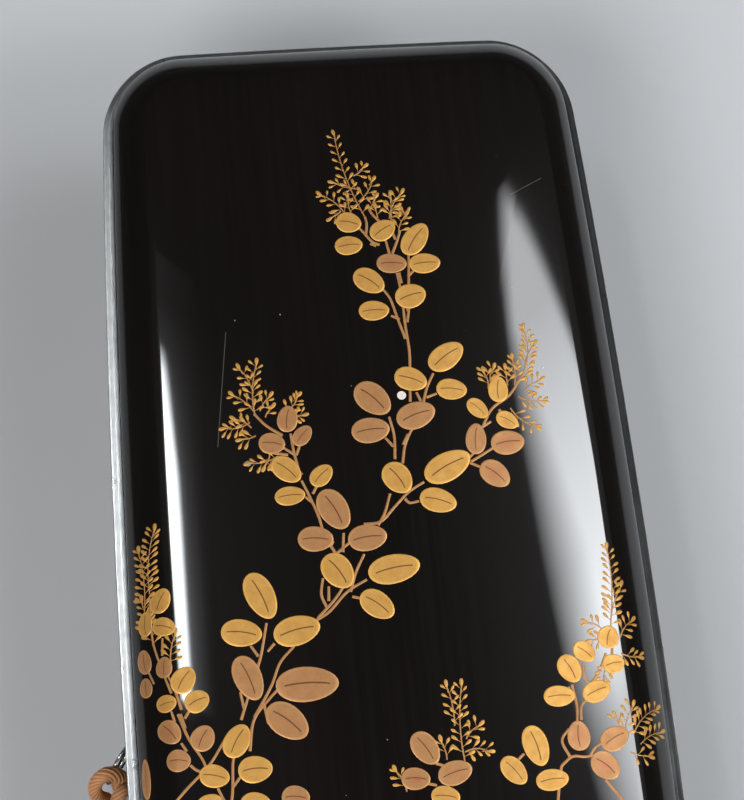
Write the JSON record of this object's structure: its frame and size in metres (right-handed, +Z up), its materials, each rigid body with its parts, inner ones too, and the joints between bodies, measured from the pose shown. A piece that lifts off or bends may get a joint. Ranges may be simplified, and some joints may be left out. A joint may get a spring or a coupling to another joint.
{
  "type": "lacquer letter box",
  "caption": "Long black lacquer box with a domed lift-off lid, metal rims, gold bush clover sprays, side rings and a silk cord with tassels.",
  "frame": {"origin": "middle of the box's underside, on the surface it stands on", "axes": "+Z up, the box's length along Y, its width along X, the cord's ring on the -X side"},
  "size_m": [0.1211, 0.25, 0.0492],
  "materials": {
    "black_lacquer": "polished black lacquer over wood",
    "pewter": "dull grey metal, mottled",
    "silver": "bright drawn wire",
    "silk": "plied silk cord",
    "gold": "sprinkled gold in low relief",
    "rose_gold": "sprinkled rose gold in low relief"
  },
  "bodies": {
    "root": {"body": "black_lacquer", "lid": "black_lacquer", "body_rim": "pewter", "lid_rim": "pewter", "left_rosette": "pewter", "left_staple": "silver", "left_ring": "silver", "right_rosette": "pewter", "right_staple": "silver", "right_ring": "silver", "cord_knot": "silk", "inner_strand_lead": "silk", "inner_strand_tail": "silk", "inner_tassel": "silk", "outer_strand_lead": "silk", "outer_strand_tail": "silk", "outer_tassel": "silk", "cord_hank": "silk", "hank_tie": "silk"}
  },
  "joints": []
}
